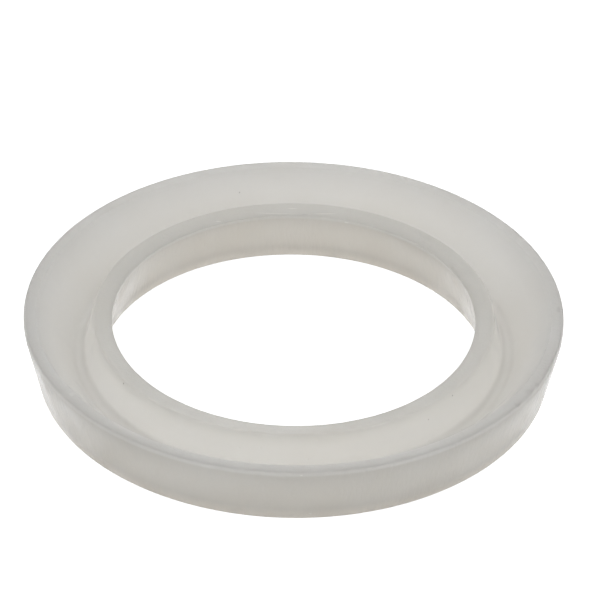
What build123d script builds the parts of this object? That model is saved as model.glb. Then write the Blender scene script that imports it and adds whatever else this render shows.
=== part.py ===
from build123d import *
import os

# Wiper ring: a one-piece, double-lip seal ring moulded in a soft translucent elastomer.
# It lies on the flat foot of its heel, lips up, with the ring's axis on +Z and the foot at Z = 0.
# The section is a lopsided U: a wedge-shaped outer lip flares out to grip the housing, a thinner
# inner lip leans in over the rod, and a groove with a rounded root lets both lips flex.
# All sizes are in millimetres, for the relaxed ring before it is fitted.

# Heel: fills the gap between rod and housing
HEEL_OD = 50.80
HEEL_ID = 38.40

# Outer lip: flares past the housing bore, with a flat rim on top
OUTER_LIP_OD = 53.54
OUTER_LIP_HEIGHT = 6.49
OUTER_LAND_LENGTH = 0.45
RIM_WIDTH = 1.20

# Inner lip: leans into the bore, its top sloping down to the sealing edge
INNER_LIP_ID = 36.06
INNER_LIP_WIDTH = 1.86
INNER_LIP_HEIGHT = 6.00
INNER_LIP_TOP_DROP = 0.32
INNER_LAND_LENGTH = 0.30

# Groove: the flanks run from the two lip edges, tangent to the rounded root
GROOVE_ROOT_DIAMETER = 42.90
GROOVE_ROOT_RADIUS = 0.80
HEEL_THICKNESS = 2.04

# Edges left by the mould
RIM_CORNER_RADIUS = 0.20
RIM_INNER_EDGE_RADIUS = 0.06
CREST_RADIUS = 0.15
SEALING_EDGE_RADIUS = 0.06
FOOT_EDGE_RADIUS = 0.12

# Corners of the half section, as (distance from the axis, height above the foot)
heel_bore = HEEL_ID / 2
heel_wall = HEEL_OD / 2
outer_land = OUTER_LIP_OD / 2
sealing_land = INNER_LIP_ID / 2
root_centre_height = HEEL_THICKNESS + GROOVE_ROOT_RADIUS
sealing_edge_height = INNER_LIP_HEIGHT - INNER_LIP_TOP_DROP

foot_inner = (heel_bore, 0)
foot_outer = (heel_wall, 0)
land_foot = (outer_land, OUTER_LIP_HEIGHT - RIM_CORNER_RADIUS - OUTER_LAND_LENGTH)
rim_corner = (outer_land, OUTER_LIP_HEIGHT)
rim_inner_edge = (outer_land - RIM_WIDTH, OUTER_LIP_HEIGHT)
crest = (sealing_land + INNER_LIP_WIDTH, INNER_LIP_HEIGHT)
sealing_edge = (sealing_land, sealing_edge_height)
sealing_land_foot = (sealing_land, sealing_edge_height - INNER_LAND_LENGTH)
groove_root = (GROOVE_ROOT_DIAMETER / 2, HEEL_THICKNESS)
groove_root_centre = (GROOVE_ROOT_DIAMETER / 2, root_centre_height)


def flank(lip_edge, root_circle):
    """The groove's side: the lower of the two tangents from a lip's edge to the root."""
    tangents = ConstrainedLines(root_circle, lip_edge).edges()
    return tangents.sort_by(Axis.Y)[0]


def groove_line():
    """The groove seen in section: outer flank, rounded root, inner flank."""
    root_circle = CenterArc(groove_root_centre, GROOVE_ROOT_RADIUS, 0, 360)
    outer_flank = flank(rim_inner_edge, root_circle)
    inner_flank = flank(crest, root_circle)
    outer_tangency = outer_flank.vertices().sort_by(Axis.Y)[0]
    inner_tangency = inner_flank.vertices().sort_by(Axis.Y)[0]
    root = ThreePointArc(outer_tangency, groove_root, inner_tangency)
    return [outer_flank, root, inner_flank]


def half_section():
    """The ring's right-hand section, with every moulded edge rounded."""
    inside = Polyline(crest, sealing_edge, sealing_land_foot, foot_inner)
    outside = Polyline(foot_inner, foot_outer, land_foot, rim_corner, rim_inner_edge)
    section = make_face(Curve() + [inside, outside, *groove_line()])
    edge_radii = [
        (rim_corner, RIM_CORNER_RADIUS),
        (rim_inner_edge, RIM_INNER_EDGE_RADIUS),
        (crest, CREST_RADIUS),
        (sealing_edge, SEALING_EDGE_RADIUS),
        (foot_inner, FOOT_EDGE_RADIUS),
        (foot_outer, FOOT_EDGE_RADIUS),
    ]
    for corner, radius in edge_radii:
        section = fillet(section.vertices().sort_by_distance(corner)[0], radius)
    return section


wiper_ring = revolve(Plane.XZ * half_section(), Axis.Z)

os.makedirs("parts", exist_ok=True)
export_step(wiper_ring, "parts/wiper_ring.step")
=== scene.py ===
"""Wiper ring: a one-piece lip seal moulded in a milky, translucent elastomer.

The ring is lathed from its section in edit mode and dressed with one procedural material.
Sizes are millimetres in the dataclasses and metres in the finished mesh.
"""

import logging
import math
from dataclasses import dataclass, field
from enum import Enum

import bpy
from mathutils import Matrix, Quaternion, Vector

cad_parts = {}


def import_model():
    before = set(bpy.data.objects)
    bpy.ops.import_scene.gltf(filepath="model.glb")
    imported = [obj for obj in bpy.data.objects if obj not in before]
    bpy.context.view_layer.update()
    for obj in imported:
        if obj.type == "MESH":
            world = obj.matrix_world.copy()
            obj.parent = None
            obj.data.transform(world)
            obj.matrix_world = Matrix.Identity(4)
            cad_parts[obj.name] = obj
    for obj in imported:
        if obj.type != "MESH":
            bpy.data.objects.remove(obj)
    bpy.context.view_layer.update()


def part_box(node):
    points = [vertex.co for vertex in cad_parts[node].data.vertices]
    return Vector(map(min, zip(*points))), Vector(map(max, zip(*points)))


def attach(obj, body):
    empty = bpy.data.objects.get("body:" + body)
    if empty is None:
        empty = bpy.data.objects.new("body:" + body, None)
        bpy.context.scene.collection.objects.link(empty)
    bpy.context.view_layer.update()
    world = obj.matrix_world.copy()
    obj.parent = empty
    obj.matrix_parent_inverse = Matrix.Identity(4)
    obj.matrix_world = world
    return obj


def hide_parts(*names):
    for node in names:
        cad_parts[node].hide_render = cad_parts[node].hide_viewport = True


MM = 0.001
NODE = "wiper_ring"

log = logging.getLogger("wiper_ring")

Point = tuple[float, float]


def linear_colour(hex_code: str) -> tuple[float, float, float, float]:
    """Turn an sRGB hex colour into the linear colour that a shader takes.

    Args:
        hex_code: six hex digits, such as "d0cdc6".

    Returns:
        Linear red, green, blue and an alpha of 1.
    """
    channels = [int(hex_code[i : i + 2], 16) / 255 for i in (0, 2, 4)]
    linear = [c / 12.92 if c <= 0.04045 else ((c + 0.055) / 1.055) ** 2.4 for c in channels]
    return (*linear, 1.0)


def add_node(
    tree: bpy.types.NodeTree,
    kind: str,
    settings: dict[str, object] | None = None,
    inputs: dict[str | int, object] | None = None,
) -> bpy.types.Node:
    """Add a node, set its properties, and fill or link its inputs.

    Args:
        tree: the node tree to add to.
        kind: the node's Blender type name.
        settings: properties of the node itself.
        inputs: socket name or number to a value, or to an output socket that is linked in.

    Returns:
        The new node.
    """
    node = tree.nodes.new(kind)
    for name, value in (settings or {}).items():
        setattr(node, name, value)
    for name, value in (inputs or {}).items():
        if isinstance(value, bpy.types.NodeSocket):
            tree.links.new(value, node.inputs[name])
        else:
            node.inputs[name].default_value = value
    return node


def mix_colours(
    tree: bpy.types.NodeTree,
    share: bpy.types.NodeSocket,
    first: object,
    second: object,
    blend: str = "MIX",
) -> bpy.types.NodeSocket:
    """Mix two colours, each a value or a socket.

    Args:
        tree: the node tree.
        share: how much of the second colour shows.
        first: the colour at a share of 0.
        second: the colour at a share of 1.
        blend: the way of mixing, by its Blender name.

    Returns:
        The mixed colour's output socket.
    """
    mixed = add_node(
        tree,
        "ShaderNodeMix",
        {"data_type": "RGBA", "blend_type": blend},
        {"Factor": share, 6: first, 7: second},
    )
    return mixed.outputs[2]


@dataclass(frozen=True)
class RingSection:
    """The ring's section, in millimetres from the axis and above the foot."""

    outer_lip_radius: float
    height: float
    heel_radius: float = 25.40
    heel_bore_radius: float = 19.20
    outer_land_length: float = 0.45
    rim_width: float = 1.20
    inner_lip_radius: float = 18.03
    inner_lip_width: float = 1.86
    inner_lip_height: float = 6.00
    inner_lip_top_drop: float = 0.32
    inner_land_length: float = 0.30
    root_circle_radius: float = 21.45
    root_radius: float = 0.80
    heel_thickness: float = 2.04
    rim_corner_radius: float = 0.20
    rim_inner_edge_radius: float = 0.06
    crest_radius: float = 0.15
    sealing_edge_radius: float = 0.06
    foot_edge_radius: float = 0.12

    @property
    def foot_inner(self) -> Point:
        """The foot's edge at the bore."""
        return (self.heel_bore_radius, 0.0)

    @property
    def foot_outer(self) -> Point:
        """The foot's edge at the outer wall."""
        return (self.heel_radius, 0.0)

    @property
    def land_foot(self) -> Point:
        """Where the outer wall's flare meets the short upright land."""
        rounded_off = self.rim_corner_radius + self.outer_land_length
        return (self.outer_lip_radius, self.height - rounded_off)

    @property
    def rim_corner(self) -> Point:
        """The rim's outer corner."""
        return (self.outer_lip_radius, self.height)

    @property
    def rim_inner_edge(self) -> Point:
        """The rim's edge over the groove."""
        return (self.outer_lip_radius - self.rim_width, self.height)

    @property
    def crest(self) -> Point:
        """The inner lip's edge over the groove."""
        return (self.inner_lip_radius + self.inner_lip_width, self.inner_lip_height)

    @property
    def sealing_edge(self) -> Point:
        """The inner lip's edge at the bore."""
        return (self.inner_lip_radius, self.inner_lip_height - self.inner_lip_top_drop)

    @property
    def sealing_land_foot(self) -> Point:
        """The lower end of the short upright land in the bore."""
        radius, height = self.sealing_edge
        return (radius, height - self.inner_land_length)

    def root_arc(self, steps: int) -> list[Point]:
        """Points along the groove's root, from the outer flank's tangency to the inner flank's.

        Args:
            steps: how many spans the arc is divided into.

        Returns:
            Section points, steps + 1 of them.
        """
        centre = (self.root_circle_radius, self.heel_thickness + self.root_radius)
        angles = []
        for edge, side in ((self.rim_inner_edge, -1.0), (self.crest, 1.0)):
            across, up = edge[0] - centre[0], edge[1] - centre[1]
            swing = math.acos(self.root_radius / math.hypot(across, up))
            angles.append(math.atan2(up, across) + side * swing)
        start, end = angles[0], angles[1] - 2 * math.pi
        points = []
        for step in range(steps + 1):
            angle = start + (end - start) * step / steps
            points.append(
                (
                    centre[0] + self.root_radius * math.cos(angle),
                    centre[1] + self.root_radius * math.sin(angle),
                )
            )
        return points


class MarkKind(Enum):
    """What a small mark is, with its colour: specks and scuffs, painted shade in the rim's nicks
    and painted highlights on the inner lip.
    """

    DARK_SPECK = "6f6a60"
    # Painted shade: the dark colour in the rim's nicks.
    RIM_NICK_SHADE = "87837a"
    # Light scuffs, and painted highlights where an edge catches the light.
    LIGHT_SCUFF_AND_HIGHLIGHT = "f3f1ec"


@dataclass(frozen=True)
class SurfaceMark:
    """One small mark, an ellipsoid of colour where it cuts the surface, in millimetres."""

    kind: MarkKind
    place: tuple[float, float, float]
    reach: tuple[float, float, float]
    strength: float = 0.8


@dataclass(frozen=True)
class LightAndShadeBand:
    """A band of painted light and shade, fading in between two distances from the axis.

    It covers only what is lower than top_mm.
    """

    colour: str
    from_mm: float
    to_mm: float
    top_mm: float = 10.0


@dataclass(frozen=True)
class MilkyElastomer:
    """Natural silicone rubber, compression moulded and left unpigmented.

    The eye sees a milky body with soft light bleeding through the lips. Its colour holds painted
    light and shade: a little lighter on the outer flank and rim, darker over the groove's root,
    warmer and darker in the bore, and painted whiter at the foot. A thin oily bloom on the satin
    skin, the shader's coat, mirrors the white surroundings where it is seen edge on. There the
    fine upright drag lines from the mould, the soft orange peel and a few pits show.
    """

    # Painted light: whiter colour towards the foot stands in for light from the table shining
    # through the foot.
    painted_foot_light_colour: str = "f3eee6"
    body_colour: str = "dcdbd7"
    light_and_shade_fade_mm: float = 0.3
    cloud_tint: str = "faf8f5"
    painted_foot_light_mm: float = 1.5
    cloud_mm: float = 7.0
    # Painted light and shade: darker over the groove's root, lighter on the outer flank and rim, a
    # little darker on the outer wall, darker and warmer in the bore.
    light_and_shade_bands: tuple[LightAndShadeBand, ...] = (
        LightAndShadeBand("d7d6d3", 19.9, 20.4),
        LightAndShadeBand("e5e4e1", 21.6, 24.2),
        LightAndShadeBand("dad8d3", 25.2, 25.5, 6.2),
        LightAndShadeBand("d7d4ce", 19.45, 19.3, 5.5),
    )
    ior: float = 1.41
    skin_specular_level: float = 0.3
    satin_roughness: float = 0.29
    scuffed_roughness: float = 0.46
    least_bloom: float = 0.2
    most_bloom: float = 1.0
    bloom_ior: float = 1.22
    bloom_roughness: float = 0.08
    bleed_mm: float = 22.0
    bleed_by_channel: tuple[float, float, float] = (1.0, 0.96, 0.9)
    drag_line_mm: float = 0.32
    drag_line_stretch: float = 9.0
    drag_line_depth_mm: float = 0.05
    groove_middle_mm: float = 22.4
    groove_half_width_mm: float = 2.6
    groove_dullness: float = 0.78
    groove_edge_mm: float = 0.6
    cleanest_wear: float = 0.75
    dullest_wear: float = 1.25
    wear_patch_mm: float = 3.5
    orange_peel_mm: float = 1.7
    orange_peel_depth_mm: float = 0.04
    pit_spacing_mm: float = 1.3
    pit_width_mm: float = 0.16
    pit_depth_mm: float = 0.02
    mark_core: float = 0.4
    mark_edge: float = 1.2
    marks: tuple[SurfaceMark, ...] = (
        SurfaceMark(MarkKind.DARK_SPECK, (-16.55, -11.22, 5.54), (0.10, 0.10, 0.10), 0.6),
        SurfaceMark(MarkKind.DARK_SPECK, (15.59, -12.52, 5.52), (0.09, 0.09, 0.09), 0.5),
        SurfaceMark(MarkKind.DARK_SPECK, (13.24, -15.28, 4.60), (0.09, 0.09, 0.09), 0.35),
        SurfaceMark(MarkKind.DARK_SPECK, (-5.70, 23.44, 4.77), (0.09, 0.09, 0.09), 0.35),
        SurfaceMark(MarkKind.DARK_SPECK, (0.97, 18.20, 5.71), (0.42, 0.08, 0.10), 0.14),
        # The next four are painted shade in the rim's nicks, over the dents that WiperRing presses
        # into the rim.
        SurfaceMark(MarkKind.RIM_NICK_SHADE, (22.97, -13.04, 6.49), (0.50, 0.45, 0.30), 0.09),
        SurfaceMark(MarkKind.RIM_NICK_SHADE, (21.95, -15.16, 6.46), (0.50, 0.30, 0.35), 0.12),
        SurfaceMark(MarkKind.RIM_NICK_SHADE, (23.88, -11.83, 6.47), (0.35, 0.35, 0.30), 0.12),
        SurfaceMark(MarkKind.RIM_NICK_SHADE, (26.28, 0.89, 6.49), (0.25, 0.60, 0.20), 0.15),
        SurfaceMark(MarkKind.LIGHT_SCUFF_AND_HIGHLIGHT, (-21.51, -14.46, 6.49), (0.30, 0.35, 0.20), 0.35),
        # The next three are painted highlights: thin light lines along the inner lip's top at the
        # back, where its edges catch the light.
        SurfaceMark(MarkKind.LIGHT_SCUFF_AND_HIGHLIGHT, (-0.25, 19.05, 5.86), (0.55, 0.07, 0.12), 0.5),
        SurfaceMark(MarkKind.LIGHT_SCUFF_AND_HIGHLIGHT, (-1.97, 18.28, 5.74), (2.40, 0.10, 0.10), 0.5),
        SurfaceMark(MarkKind.LIGHT_SCUFF_AND_HIGHLIGHT, (3.21, 18.30, 5.75), (1.40, 0.10, 0.10), 0.5),
        SurfaceMark(MarkKind.LIGHT_SCUFF_AND_HIGHLIGHT, (5.25, 17.25, 5.45), (0.30, 0.15, 0.09), 0.6),
        SurfaceMark(MarkKind.LIGHT_SCUFF_AND_HIGHLIGHT, (-7.74, 16.71, 5.75), (0.35, 0.12, 0.09), 0.5),
        SurfaceMark(MarkKind.LIGHT_SCUFF_AND_HIGHLIGHT, (0.93, -26.75, 6.18), (0.16, 0.12, 0.10), 0.8),
        SurfaceMark(MarkKind.LIGHT_SCUFF_AND_HIGHLIGHT, (1.85, -25.49, 0.69), (0.16, 0.12, 0.10), 0.8),
    )

    def material(self) -> bpy.types.Material:
        """Build the material.

        Returns:
            The finished material.
        """
        material = bpy.data.materials.new("moulded_milky_silicone")
        material.use_nodes = True
        tree = material.node_tree
        tree.nodes.clear()
        in_mm = self.millimetres(tree)
        drag_lines = self.drag_lines(tree, in_mm)
        wear = self.wear(tree, in_mm, drag_lines)
        relief = self.relief(tree, in_mm, drag_lines)
        shader = add_node(
            tree,
            "ShaderNodeBsdfPrincipled",
            {"subsurface_method": "BURLEY"},
            {
                "Base Color": self.marked(tree, in_mm, self.clouded_body(tree, in_mm)),
                "Subsurface Weight": 1.0,
                "Subsurface Radius": self.bleed_by_channel,
                "Subsurface Scale": self.bleed_mm * MM,
                "IOR": self.ior,
                "Specular IOR Level": self.skin_specular_level,
                "Coat Weight": self.by_wear(tree, wear, self.most_bloom, self.least_bloom),
                "Coat IOR": self.bloom_ior,
                "Coat Roughness": self.bloom_roughness,
                "Roughness": self.by_wear(
                    tree, wear, self.satin_roughness, self.scuffed_roughness
                ),
                "Normal": relief,
                "Coat Normal": relief,
            },
        )
        add_node(tree, "ShaderNodeOutputMaterial", None, {"Surface": shader.outputs["BSDF"]})
        return material

    def millimetres(self, tree: bpy.types.NodeTree) -> bpy.types.NodeSocket:
        """Object coordinates, turned from metres to millimetres.

        Args:
            tree: the material's node tree.

        Returns:
            The coordinates' output socket.
        """
        place = add_node(tree, "ShaderNodeTexCoord")
        in_mm = add_node(
            tree,
            "ShaderNodeMapping",
            None,
            {"Vector": place.outputs["Object"], "Scale": (1 / MM, 1 / MM, 1 / MM)},
        )
        return in_mm.outputs["Vector"]

    def radius(
        self, tree: bpy.types.NodeTree, in_mm: bpy.types.NodeSocket
    ) -> bpy.types.NodeSocket:
        """Distance from the ring's axis.

        Args:
            tree: the material's node tree.
            in_mm: the coordinates in millimetres.

        Returns:
            The distance's output socket, in millimetres.
        """
        flat = add_node(
            tree, "ShaderNodeVectorMath", {"operation": "MULTIPLY"}, {0: in_mm, 1: (1.0, 1.0, 0.0)}
        )
        length = add_node(
            tree, "ShaderNodeVectorMath", {"operation": "LENGTH"}, {0: flat.outputs["Vector"]}
        )
        return length.outputs["Value"]

    def clouded_body(
        self, tree: bpy.types.NodeTree, in_mm: bpy.types.NodeSocket
    ) -> bpy.types.NodeSocket:
        """Body colour with bands of painted light and shade, warmer in the bore, clouded, and
        painted whiter towards the foot.

        Args:
            tree: the material's node tree.
            in_mm: the coordinates in millimetres.

        Returns:
            The colour's output socket.
        """
        radius = self.radius(tree, in_mm)
        axes = add_node(tree, "ShaderNodeSeparateXYZ", None, {0: in_mm})
        height = axes.outputs["Z"]
        colour = linear_colour(self.body_colour)
        # Bands of painted light and shade laid over the body colour by distance from the axis and
        # height.
        for band in self.light_and_shade_bands:
            reached = add_node(
                tree,
                "ShaderNodeMath",
                {"operation": "MINIMUM"},
                {
                    0: self.fade(tree, radius, band.from_mm, band.to_mm),
                    1: self.fade(tree, height, band.top_mm, band.top_mm - self.light_and_shade_fade_mm),
                },
            )
            colour = mix_colours(
                tree, reached.outputs["Value"], colour, linear_colour(band.colour)
            )
        clouds = add_node(
            tree,
            "ShaderNodeTexNoise",
            None,
            {"Vector": in_mm, "Scale": 1 / self.cloud_mm, "Detail": 3.0},
        )
        colour = mix_colours(
            tree, clouds.outputs["Fac"], colour, linear_colour(self.cloud_tint), "MULTIPLY"
        )
        # Painted light: the colour turns whiter towards the foot.
        foot_light_share = self.fade(tree, height, self.painted_foot_light_mm, 0.0)
        return mix_colours(tree, foot_light_share, colour, linear_colour(self.painted_foot_light_colour))

    def fade(
        self, tree: bpy.types.NodeTree, value: bpy.types.NodeSocket, none: float, full: float
    ) -> bpy.types.NodeSocket:
        """A soft step from 0 to 1.

        Args:
            tree: the material's node tree.
            value: what the step follows.
            none: the value at which the step is 0.
            full: the value at which it is 1.

        Returns:
            The step's output socket.
        """
        step = add_node(
            tree,
            "ShaderNodeMapRange",
            {"interpolation_type": "SMOOTHSTEP"},
            {
                "Value": value,
                "From Min": min(none, full),
                "From Max": max(none, full),
                "To Min": 0.0 if none < full else 1.0,
                "To Max": 1.0 if none < full else 0.0,
            },
        )
        return step.outputs["Result"]

    def marked(
        self, tree: bpy.types.NodeTree, in_mm: bpy.types.NodeSocket, colour: bpy.types.NodeSocket
    ) -> bpy.types.NodeSocket:
        """Lay the small marks over the body colour.

        Args:
            tree: the material's node tree.
            in_mm: the coordinates in millimetres.
            colour: the colour underneath.

        Returns:
            The colour's output socket.
        """
        for mark in self.marks:
            away = add_node(
                tree, "ShaderNodeVectorMath", {"operation": "SUBTRACT"}, {0: in_mm, 1: mark.place}
            )
            in_reaches = add_node(
                tree,
                "ShaderNodeVectorMath",
                {"operation": "DIVIDE"},
                {0: away.outputs["Vector"], 1: mark.reach},
            )
            distance = add_node(
                tree,
                "ShaderNodeVectorMath",
                {"operation": "LENGTH"},
                {0: in_reaches.outputs["Vector"]},
            )
            cover = add_node(
                tree,
                "ShaderNodeMapRange",
                {"interpolation_type": "SMOOTHSTEP"},
                {
                    "Value": distance.outputs["Value"],
                    "From Min": self.mark_core,
                    "From Max": self.mark_edge,
                    "To Min": mark.strength,
                    "To Max": 0.0,
                },
            )
            colour = mix_colours(
                tree, cover.outputs["Result"], colour, linear_colour(mark.kind.value)
            )
        return colour

    def drag_lines(
        self, tree: bpy.types.NodeTree, in_mm: bpy.types.NodeSocket
    ) -> bpy.types.NodeSocket:
        """Fine upright lines that the mould dragged along the walls; none in the groove.

        Args:
            tree: the material's node tree.
            in_mm: the coordinates in millimetres.

        Returns:
            A value from 0 to 1, even and rather dull in the groove.
        """
        stretched = add_node(
            tree,
            "ShaderNodeMapping",
            None,
            {"Vector": in_mm, "Scale": (1, 1, 1 / self.drag_line_stretch)},
        )
        lines = add_node(
            tree,
            "ShaderNodeTexNoise",
            None,
            {
                "Vector": stretched.outputs["Vector"],
                "Scale": 1 / self.drag_line_mm,
                "Detail": 2.0,
                "Roughness": 0.6,
            },
        )
        from_middle = add_node(
            tree,
            "ShaderNodeMath",
            {"operation": "SUBTRACT"},
            {0: self.radius(tree, in_mm), 1: self.groove_middle_mm},
        )
        away = add_node(
            tree, "ShaderNodeMath", {"operation": "ABSOLUTE"}, {0: from_middle.outputs["Value"]}
        )
        on_walls = add_node(
            tree,
            "ShaderNodeMapRange",
            {"interpolation_type": "SMOOTHSTEP"},
            {
                "Value": away.outputs["Value"],
                "From Min": self.groove_half_width_mm,
                "From Max": self.groove_half_width_mm + self.groove_edge_mm,
            },
        )
        kept = add_node(
            tree,
            "ShaderNodeMix",
            {"data_type": "FLOAT"},
            {
                "Factor": on_walls.outputs["Result"],
                "A": self.groove_dullness,
                "B": lines.outputs["Fac"],
            },
        )
        return kept.outputs["Result"]

    def wear(
        self,
        tree: bpy.types.NodeTree,
        in_mm: bpy.types.NodeSocket,
        drag_lines: bpy.types.NodeSocket,
    ) -> bpy.types.NodeSocket:
        """Where the skin is dull: along the drag lines and in larger patches.

        Args:
            tree: the material's node tree.
            in_mm: the coordinates in millimetres.
            drag_lines: the drag lines' value.

        Returns:
            A value of about 0.7 on clean skin to 1.3 where it is dullest.
        """
        patches = add_node(
            tree,
            "ShaderNodeTexNoise",
            None,
            {"Vector": in_mm, "Scale": 1 / self.wear_patch_mm, "Detail": 2.0},
        )
        both = add_node(
            tree, "ShaderNodeMath", {"operation": "ADD"}, {0: drag_lines, 1: patches.outputs["Fac"]}
        )
        return both.outputs["Value"]

    def by_wear(
        self,
        tree: bpy.types.NodeTree,
        wear: bpy.types.NodeSocket,
        clean: float,
        dull: float,
    ) -> bpy.types.NodeSocket:
        """A value that runs from clean to dull skin.

        Args:
            tree: the material's node tree.
            wear: the wear value.
            clean: the value on clean skin.
            dull: the value where the skin is dullest.

        Returns:
            The value's output socket.
        """
        ranged = add_node(
            tree,
            "ShaderNodeMapRange",
            None,
            {
                "Value": wear,
                "From Min": self.cleanest_wear,
                "From Max": self.dullest_wear,
                "To Min": clean,
                "To Max": dull,
            },
        )
        return ranged.outputs["Result"]

    def relief(
        self,
        tree: bpy.types.NodeTree,
        in_mm: bpy.types.NodeSocket,
        drag_lines: bpy.types.NodeSocket,
    ) -> bpy.types.NodeSocket:
        """Drag lines, orange peel and pits as fine relief.

        Args:
            tree: the material's node tree.
            in_mm: the coordinates in millimetres.
            drag_lines: the drag lines' value.

        Returns:
            The normal's output socket.
        """
        peel = add_node(
            tree,
            "ShaderNodeTexNoise",
            None,
            {"Vector": in_mm, "Scale": 1 / self.orange_peel_mm, "Detail": 1.0},
        )
        cells = add_node(
            tree,
            "ShaderNodeTexVoronoi",
            None,
            {"Vector": in_mm, "Scale": 1 / self.pit_spacing_mm},
        )
        pits = add_node(
            tree,
            "ShaderNodeMapRange",
            {"interpolation_type": "SMOOTHSTEP"},
            {
                "Value": cells.outputs["Distance"],
                "From Min": 0.0,
                "From Max": self.pit_width_mm / self.pit_spacing_mm,
            },
        )
        normal = None
        for height, depth in (
            (peel.outputs["Fac"], self.orange_peel_depth_mm),
            (drag_lines, self.drag_line_depth_mm),
            (pits.outputs["Result"], self.pit_depth_mm),
        ):
            inputs = {"Height": height, "Distance": depth * MM, "Strength": 1.0}
            if normal is not None:
                inputs["Normal"] = normal
            normal = add_node(tree, "ShaderNodeBump", None, inputs).outputs["Normal"]
        return normal


@dataclass(frozen=True)
class RimDent:
    """A small dent in the soft rim, in millimetres: its middle, how far it reaches, how deep."""

    place: tuple[float, float, float]
    reach: float
    depth: float


@dataclass
class WiperRing:
    """The whole ring, one moulding."""

    section: RingSection
    finish: MilkyElastomer
    segments: int = 600
    root_steps: int = 12
    span_mm: float = 0.5
    bevel_steps: int = 3
    merge_mm: float = 0.001
    loop_reach_mm: float = 0.01
    sharp_deg: float = 40.0
    dents: tuple[RimDent, ...] = (
        RimDent((21.95, -15.16, 6.46), 0.42, 0.09),
        RimDent((22.97, -13.04, 6.49), 0.40, 0.05),
        RimDent((23.88, -11.83, 6.47), 0.35, 0.05),
        RimDent((26.30, 0.89, 6.49), 0.35, 0.06),
    )
    piece: bpy.types.Object = field(init=False)

    def build(self) -> bpy.types.Object:
        """Model and dress the ring.

        Returns:
            The finished piece.
        """
        self.lathe()
        self.round_edges()
        self.knock_rim()
        self.close_up()
        self.piece.data.materials.append(self.finish.material())
        return self.piece

    def lathe(self) -> None:
        """Draw the foot's inner circle out along the section, loop by loop."""
        section = self.section
        deselect_everything()
        radius, height = section.foot_inner
        bpy.ops.mesh.primitive_circle_add(
            vertices=self.segments, radius=radius * MM, fill_type="NOTHING", location=(0, 0, height)
        )
        self.piece = bpy.context.object
        self.piece.name = "moulded_wiper_ring"
        self.piece.data.name = self.piece.name
        corners = [
            section.foot_inner,
            section.foot_outer,
            section.land_foot,
            section.rim_corner,
            section.rim_inner_edge,
            *section.root_arc(self.root_steps),
            section.crest,
            section.sealing_edge,
            section.sealing_land_foot,
            section.foot_inner,
        ]
        bpy.ops.object.mode_set(mode="EDIT")
        for start, end in zip(corners[:-1], corners[1:]):
            length = math.dist(start, end)
            spans = max(1, round(length / self.span_mm))
            for span in range(spans):
                here = mix_points(start, end, span / spans)
                there = mix_points(start, end, (span + 1) / spans)
                bpy.ops.mesh.extrude_edges_move()
                scale = there[0] / here[0]
                bpy.ops.transform.resize(value=(scale, scale, 1), center_override=(0, 0, 0))
                bpy.ops.transform.translate(value=(0, 0, (there[1] - here[1]) * MM))
        bpy.ops.mesh.select_all(action="SELECT")
        bpy.ops.mesh.remove_doubles(threshold=self.merge_mm * MM)
        bpy.ops.object.mode_set(mode="OBJECT")

    def round_edges(self) -> None:
        """Bevel the moulded edges to their real radii."""
        section = self.section
        over_root, under_crest = section.root_arc(1)
        land_foot, rim_corner = section.land_foot, section.rim_corner
        rim_inner_edge, crest = section.rim_inner_edge, section.crest
        sealing_edge, land_end = section.sealing_edge, section.sealing_land_foot
        foot_inner, foot_outer = section.foot_inner, section.foot_outer
        rounded = [
            (rim_corner, section.rim_corner_radius, land_foot, rim_inner_edge),
            (rim_inner_edge, section.rim_inner_edge_radius, rim_corner, over_root),
            (crest, section.crest_radius, under_crest, sealing_edge),
            (sealing_edge, section.sealing_edge_radius, crest, land_end),
            (foot_inner, section.foot_edge_radius, land_end, foot_outer),
            (foot_outer, section.foot_edge_radius, foot_inner, land_foot),
        ]
        for corner, radius, before, after in rounded:
            self.select_loop(corner)
            bpy.ops.object.mode_set(mode="EDIT")
            bpy.ops.mesh.bevel(
                offset_type="OFFSET",
                offset=tangent_length(corner, before, after, radius) * MM,
                segments=self.bevel_steps,
                affect="EDGES",
            )
            bpy.ops.object.mode_set(mode="OBJECT")

    def knock_rim(self) -> None:
        """Press each small dent straight down into the rim."""
        mesh = self.piece.data
        for dent in self.dents:
            centre = Vector(dent.place) * MM
            bpy.ops.object.mode_set(mode="EDIT")
            bpy.ops.mesh.select_mode(type="VERT")
            bpy.ops.mesh.select_all(action="DESELECT")
            bpy.ops.object.mode_set(mode="OBJECT")
            for vertex in mesh.vertices:
                vertex.select = (vertex.co - centre).length < dent.reach * MM
            bpy.ops.object.mode_set(mode="EDIT")
            bpy.ops.transform.translate(value=(0, 0, -dent.depth * MM))
            bpy.ops.object.mode_set(mode="OBJECT")

    def select_loop(self, corner: Point) -> None:
        """Select only the ring of edges that lies on a section corner.

        Args:
            corner: distance from the axis and height, in millimetres.
        """
        mesh = self.piece.data
        reach = self.loop_reach_mm * MM
        on_loop = [
            abs(math.hypot(v.co.x, v.co.y) - corner[0] * MM) < reach
            and abs(v.co.z - corner[1] * MM) < reach
            for v in mesh.vertices
        ]
        bpy.ops.object.mode_set(mode="EDIT")
        bpy.ops.mesh.select_mode(type="EDGE")
        bpy.ops.mesh.select_all(action="DESELECT")
        bpy.ops.object.mode_set(mode="OBJECT")
        for edge in mesh.edges:
            edge.select = on_loop[edge.vertices[0]] and on_loop[edge.vertices[1]]

    def close_up(self) -> None:
        """Turn every face outwards and shade the walls smooth."""
        bpy.ops.object.mode_set(mode="EDIT")
        bpy.ops.mesh.select_all(action="SELECT")
        bpy.ops.mesh.normals_make_consistent(inside=False)
        bpy.ops.object.mode_set(mode="OBJECT")
        bpy.ops.object.shade_smooth_by_angle(angle=math.radians(self.sharp_deg))


def deselect_everything() -> None:
    """Clear the selection, so that an operator acts on the new piece alone."""
    bpy.ops.object.select_all(action="DESELECT")


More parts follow.
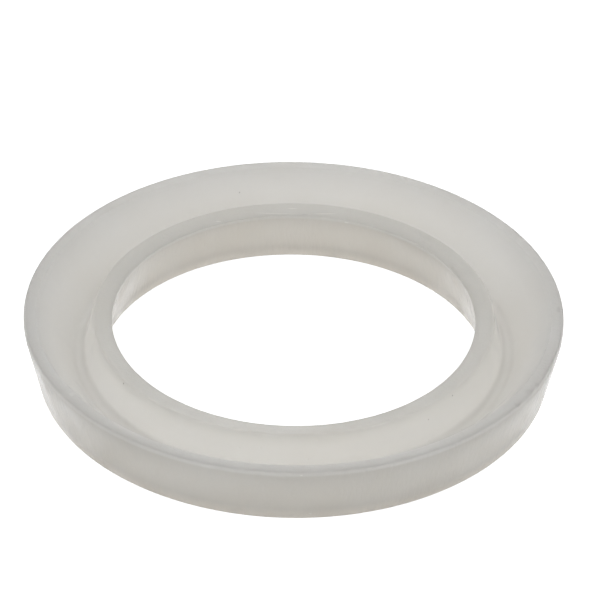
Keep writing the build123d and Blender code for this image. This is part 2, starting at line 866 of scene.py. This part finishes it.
def mix_points(start: Point, end: Point, share: float) -> Point:
    """A point part of the way from start to end."""
    return (start[0] + (end[0] - start[0]) * share, start[1] + (end[1] - start[1]) * share)


def tangent_length(corner: Point, before: Point, after: Point, radius: float) -> float:
    """How far from a corner its rounding starts.

    Args:
        corner: the sharp corner.
        before: a point on one side of it.
        after: a point on the other side.
        radius: the rounding's radius.

    Returns:
        The distance along each side, in the same unit.
    """
    first = Vector((before[0] - corner[0], before[1] - corner[1]))
    second = Vector((after[0] - corner[0], after[1] - corner[1]))
    return radius / math.tan(first.angle(second) / 2)


@dataclass(frozen=True)
class SoftLamp:
    """A square soft lamp that lights the ring and stays out of its reflections."""

    name: str
    watts: float
    around_deg: float
    elevation_deg: float
    size_m: float = 0.5
    distance_m: float = 0.8

    def hang(self) -> None:
        """Add the lamp, turned towards the ring; 0 degrees round is the camera's side."""
        lamp = bpy.data.lights.new(self.name, "AREA")
        lamp.energy = self.watts
        lamp.size = self.size_m
        holder = bpy.data.objects.new(self.name, lamp)
        around, elevation = math.radians(self.around_deg), math.radians(self.elevation_deg)
        towards_lamp = Vector(
            (
                math.sin(around) * math.cos(elevation),
                -math.cos(around) * math.cos(elevation),
                math.sin(elevation),
            )
        )
        holder.location = towards_lamp * self.distance_m
        holder.rotation_euler = (-towards_lamp).to_track_quat("-Z", "Y").to_euler()
        holder.visible_glossy = False
        bpy.context.scene.collection.objects.link(holder)


@dataclass(frozen=True)
class Studio:
    """A white table in an evenly lit white room, with low soft lights behind the ring."""

    lamps: tuple[SoftLamp, ...] = (
        SoftLamp("low_back_light", 2.05, 180.0, 8.0),
        SoftLamp("left_back_light", 0.20, -130.0, 10.0),
        SoftLamp("right_back_light", 0.6, 130.0, 10.0),
    )
    room_light: float = 0.43
    floor_colour: str = "bcbcbc"
    floor_size_m: float = 6.0
    floor_gap_mm: float = 0.02
    floor_in_reflections: float = 0.84
    floor_extra_for_camera: float = 0.16
    floor_glow: float = 0.11

    def build(self) -> None:
        """Set up the room, the lamps and the table."""
        self.whiten_room()
        for lamp in self.lamps:
            lamp.hang()
        self.lay_table()

    def whiten_room(self) -> None:
        """Even room light, and plain white for the camera and for reflections."""
        world = bpy.data.worlds.new("white_room")
        bpy.context.scene.world = world
        world.use_nodes = True
        tree = world.node_tree
        tree.nodes.clear()
        path = add_node(tree, "ShaderNodeLightPath")
        strength = add_node(
            tree,
            "ShaderNodeMapRange",
            None,
            {"Value": seen_directly(tree, path), "To Min": self.room_light, "To Max": 1.0},
        )
        white = add_node(
            tree,
            "ShaderNodeBackground",
            None,
            {"Color": (1, 1, 1, 1), "Strength": strength.outputs["Result"]},
        )
        add_node(tree, "ShaderNodeOutputWorld", None, {"Surface": white.outputs["Background"]})

    def lay_table(self) -> None:
        """A pale table a hair under the foot, faintly lit from below and white to the camera."""
        deselect_everything()
        bpy.ops.mesh.primitive_plane_add(
            size=self.floor_size_m, location=(0, 0, -self.floor_gap_mm * MM)
        )
        table = bpy.context.object
        table.name = "table"
        material = bpy.data.materials.new("white_paper_table")
        material.use_nodes = True
        tree = material.node_tree
        tree.nodes.clear()
        path = add_node(tree, "ShaderNodeLightPath")
        paper = add_node(
            tree, "ShaderNodeBsdfDiffuse", None, {"Color": linear_colour(self.floor_colour)}
        )
        mirrored = add_node(
            tree,
            "ShaderNodeMath",
            {"operation": "MULTIPLY"},
            {0: seen_directly(tree, path), 1: self.floor_in_reflections},
        )
        brightest = add_node(
            tree,
            "ShaderNodeMath",
            {"operation": "MAXIMUM"},
            {0: mirrored.outputs["Value"], 1: self.floor_glow},
        )
        strength = add_node(
            tree,
            "ShaderNodeMath",
            {"operation": "MULTIPLY_ADD"},
            {
                0: path.outputs["Is Camera Ray"],
                1: self.floor_extra_for_camera,
                2: brightest.outputs["Value"],
            },
        )
        glow = add_node(
            tree,
            "ShaderNodeEmission",
            None,
            {"Color": (1, 1, 1, 1), "Strength": strength.outputs["Value"]},
        )
        both = add_node(
            tree,
            "ShaderNodeAddShader",
            None,
            {0: paper.outputs["BSDF"], 1: glow.outputs["Emission"]},
        )
        add_node(tree, "ShaderNodeOutputMaterial", None, {"Surface": both.outputs["Shader"]})
        table.data.materials.append(material)


def seen_directly(tree: bpy.types.NodeTree, path: bpy.types.Node) -> bpy.types.NodeSocket:
    """A factor that is 1 for rays from the camera and for mirrored or refracted ones.

    Args:
        tree: the node tree.
        path: its Light Path node.

    Returns:
        The factor's output socket.
    """
    first = add_node(
        tree,
        "ShaderNodeMath",
        {"operation": "MAXIMUM"},
        {0: path.outputs["Is Camera Ray"], 1: path.outputs["Is Glossy Ray"]},
    )
    second = add_node(
        tree,
        "ShaderNodeMath",
        {"operation": "MAXIMUM"},
        {0: first.outputs["Value"], 1: path.outputs["Is Transmission Ray"]},
    )
    return second.outputs["Value"]


@dataclass(frozen=True)
class PhotoCamera:
    """A long lens that looks down on the ring."""

    rim_height_mm: float
    ring_radius_mm: float
    elevation_deg: float = 35.23
    distance_in_radii: float = 22.99
    pixels_per_radius: float = 269.95
    roll_deg: float = 0.70
    ring_pixel: tuple[float, float] = (293.72, 312.41)
    frame_pixels: float = 600.0
    sensor_mm: float = 36.0

    def build(self) -> None:
        """Create the camera and make it the scene's."""
        data = bpy.data.cameras.new("photo_camera")
        data.sensor_width = self.sensor_mm
        data.lens = (
            self.pixels_per_radius * self.distance_in_radii / self.frame_pixels * self.sensor_mm
        )
        data.clip_end = 100.0
        camera = bpy.data.objects.new("photo_camera", data)
        bpy.context.scene.collection.objects.link(camera)
        bpy.context.scene.camera = camera
        elevation = math.radians(self.elevation_deg)
        ahead = Vector((0, math.cos(elevation), -math.sin(elevation)))
        distance = self.distance_in_radii * self.ring_radius_mm * MM
        turn = ahead.to_track_quat("-Z", "Y") @ Quaternion((0, 0, 1), math.radians(self.roll_deg))
        centre = Vector((0, 0, self.rim_height_mm * MM))
        camera.location = centre - ahead * distance
        metres_per_pixel = self.ring_radius_mm * MM / self.pixels_per_radius
        middle = self.frame_pixels / 2
        aim = centre + turn @ Vector(
            (
                (middle - self.ring_pixel[0]) * metres_per_pixel,
                (self.ring_pixel[1] - middle) * metres_per_pixel,
                0,
            )
        )
        look = (aim - camera.location).normalized()
        up = turn @ Vector((0, 1, 0))
        right = look.cross(up).normalized()
        up = right.cross(look)
        camera.matrix_world = Matrix.Translation(camera.location) @ Matrix(
            (right, up, -look)
        ).transposed().to_4x4()


def main() -> None:
    """Build the ring, the room and the camera, and report each piece."""
    logging.basicConfig(level=logging.INFO, format="%(name)s: %(message)s")
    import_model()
    bpy.context.scene.view_settings.view_transform = "Standard"
    low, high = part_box(NODE)
    section = RingSection(
        outer_lip_radius=(high.x - low.x) / 2 / MM, height=(high.z - low.z) / MM
    )
    ring = WiperRing(section, MilkyElastomer())
    piece = ring.build()
    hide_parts(NODE)
    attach(piece, "root")
    log.info("%s: %d faces", piece.name, len(piece.data.polygons))
    Studio().build()
    PhotoCamera(rim_height_mm=6.374, ring_radius_mm=section.outer_lip_radius).build()


if __name__ == "__main__":
    main()
